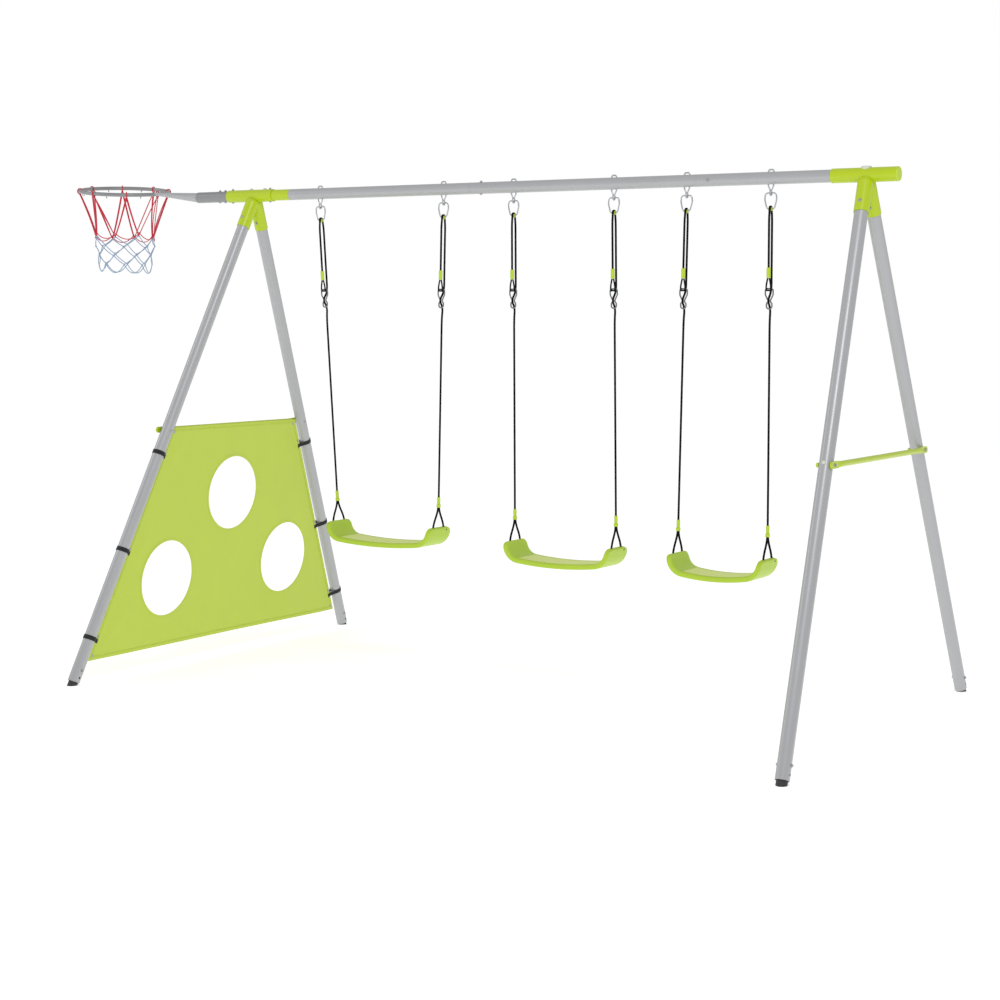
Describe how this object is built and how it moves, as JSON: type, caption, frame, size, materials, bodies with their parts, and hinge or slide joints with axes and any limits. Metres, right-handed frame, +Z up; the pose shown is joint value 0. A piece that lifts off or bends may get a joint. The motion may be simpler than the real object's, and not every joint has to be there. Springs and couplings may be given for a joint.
{
  "type": "swing set",
  "caption": "Tube-framed garden swing set with rope-hung moulded seats, a ball hoop with net on one end and a target sheet in one A-frame.",
  "frame": {"origin": "on the ground, centred under the overall bounding box of the whole set with its hoop", "axes": "+X along the beam from the hoop end to the plain end, +Y towards the back of the set, +Z up; riders face -Y"},
  "size_m": [3.7336, 1.8518, 2.022],
  "materials": {
    "grey_paint": "satin powder coat",
    "dark_grey_paint": "satin powder coat",
    "green_paint": "gloss powder coat",
    "green_plastic": "moulded",
    "hoop_paint": "satin powder coat",
    "pale_plastic": "moulded",
    "dark_plastic": "moulded",
    "bolt_steel": "dark zinc",
    "zinc_steel": "zinc plated",
    "sheet": "coated woven sheet",
    "webbing": "woven webbing",
    "net_cord": "knotted twine",
    "black_rope": "braided",
    "seat_plastic": "blow moulded"
  },
  "bodies": {
    "frame": {"left_adaptor": "green_paint", "beam_left": "grey_paint", "beam_middle": "grey_paint", "beam_right": "grey_paint", "beam_bolts": "bolt_steel", "tee_left": "green_paint", "tee_right": "green_paint", "pale_caps": "pale_plastic", "end_cap": "green_plastic", "leg_front_left": "grey_paint", "leg_back_left": "grey_paint", "leg_front_right": "grey_paint", "leg_back_right": "grey_paint", "foot_front_left": "dark_plastic", "foot_back_left": "dark_plastic", "foot_front_right": "dark_plastic", "foot_back_right": "dark_plastic", "stub_bolts": "bolt_steel", "foot_bolts": "bolt_steel", "left_spreader_bar": "green_paint", "right_brace": "green_paint", "bar_bolts": "bolt_steel", "brace_caps": "green_plastic", "goal_sheet": "sheet", "sheet_eyelets": "bolt_steel", "strap_rivets": "bolt_steel", "straps_front": "webbing", "straps_back": "webbing", "hoop_tube": "dark_grey_paint", "hoop_ring": "hoop_paint", "hoop_arm": "grey_paint", "hoop_net": "net_cord", "hangers": "zinc_steel"},
    "swing_left": {"seat_left": "seat_plastic", "rope_left_left": "black_rope", "rope_left_right": "black_rope", "bridles_left": "black_rope", "rings_left": "zinc_steel", "thimbles_left": "green_plastic", "adjusters_left": "zinc_steel", "collars_left": "green_plastic", "ferrules_left": "green_plastic"},
    "swing_middle": {"seat_middle": "seat_plastic", "rope_middle_left": "black_rope", "rope_middle_right": "black_rope", "bridles_middle": "black_rope", "rings_middle": "zinc_steel", "thimbles_middle": "green_plastic", "adjusters_middle": "zinc_steel", "collars_middle": "green_plastic", "ferrules_middle": "green_plastic"},
    "swing_right": {"seat_right": "seat_plastic", "rope_right_left": "black_rope", "rope_right_right": "black_rope", "bridles_right": "black_rope", "rings_right": "zinc_steel", "thimbles_right": "green_plastic", "adjusters_right": "zinc_steel", "collars_right": "green_plastic", "ferrules_right": "green_plastic"}
  },
  "joints": [
    {"name": "swing_left_hinge", "type": "hinge", "parent": "frame", "child": "swing_left", "pos_m": [-0.274, 0, 1.8951], "axis": [1, 0, 0], "range_deg": [-55, 55]},
    {"name": "swing_middle_hinge", "type": "hinge", "parent": "frame", "child": "swing_middle", "pos_m": [0.551, 0, 1.8951], "axis": [1, 0, 0], "range_deg": [-55, 55]},
    {"name": "swing_right_hinge", "type": "hinge", "parent": "frame", "child": "swing_right", "pos_m": [1.211, 0, 1.8951], "axis": [1, 0, 0], "range_deg": [-55, 55]}
  ]
}
